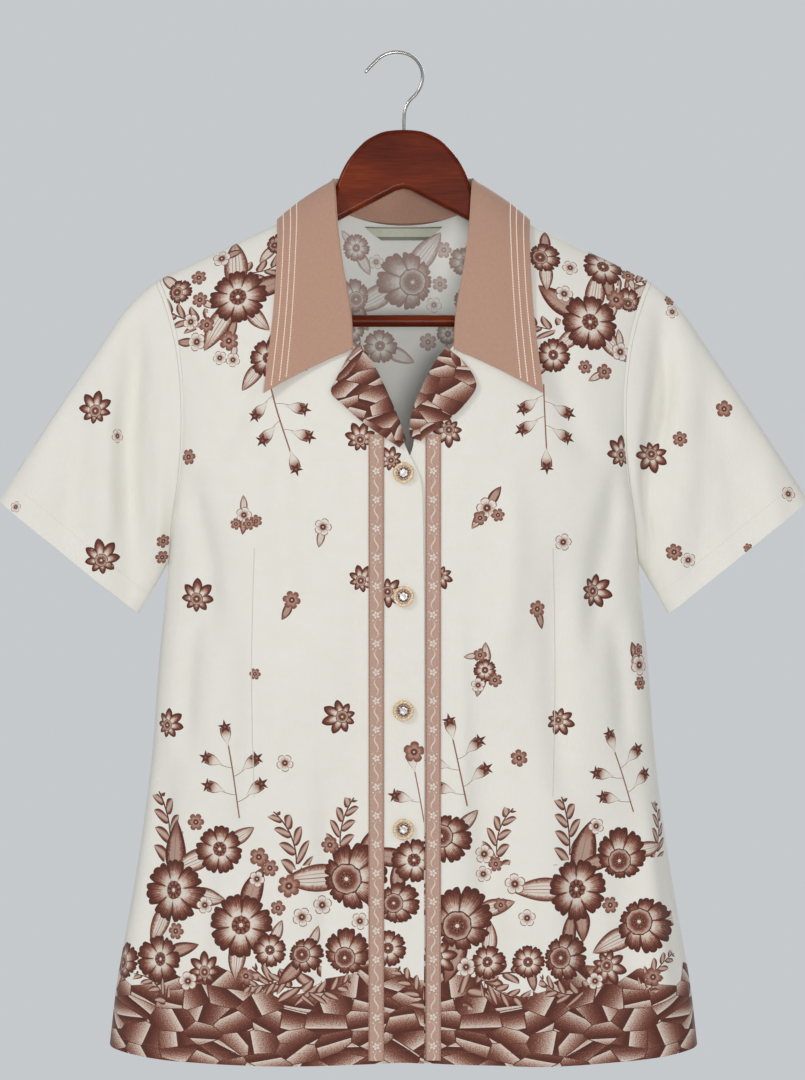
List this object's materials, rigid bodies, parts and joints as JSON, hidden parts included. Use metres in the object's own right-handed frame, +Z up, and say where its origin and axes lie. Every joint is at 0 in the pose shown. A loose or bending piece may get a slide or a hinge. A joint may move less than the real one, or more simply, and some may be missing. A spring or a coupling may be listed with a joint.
{
  "type": "button-down blouse on a hanger",
  "caption": "Short-sleeved button-down blouse with a pointed collar, turned-back lapels and flat ribbon trims, hanging open-necked on a wooden hanger with a trouser bar.",
  "frame": {"origin": "inside the crown of the hanger's hook, where a rail holds it, in the mid plane of the blouse", "axes": "+Z up, -Y the way the wearer would face, +X to the wearer's left"},
  "size_m": [0.6476, 0.1223, 0.8037],
  "materials": {
    "cloth": "cream plain weave with a brown floral print",
    "collar_cloth": "dusty rose plain weave with three rows of pale stitching",
    "lapel_cloth": "brown faceted print on cream cloth",
    "ribbon": "woven dusty rose ribbon with small white flowers",
    "label": "bare pale satin label",
    "button": "amber rim with a pearly centre",
    "hanger_wood": "glossy red-brown lacquer",
    "hook_steel": "polished steel wire"
  },
  "bodies": {
    "root": {"front_right": "cloth", "front_left": "cloth", "back": "cloth", "sleeve_right": "cloth", "sleeve_left": "cloth", "collar": "collar_cloth", "lapel_right": "lapel_cloth", "lapel_left": "lapel_cloth", "ribbon_right": "ribbon", "ribbon_left": "ribbon", "neck_label": "label", "button_1": "button", "button_2": "button", "button_3": "button", "button_4": "button", "hanger_arch": "hanger_wood", "hanger_bar": "hanger_wood", "hanger_hook": "hook_steel"}
  },
  "joints": []
}
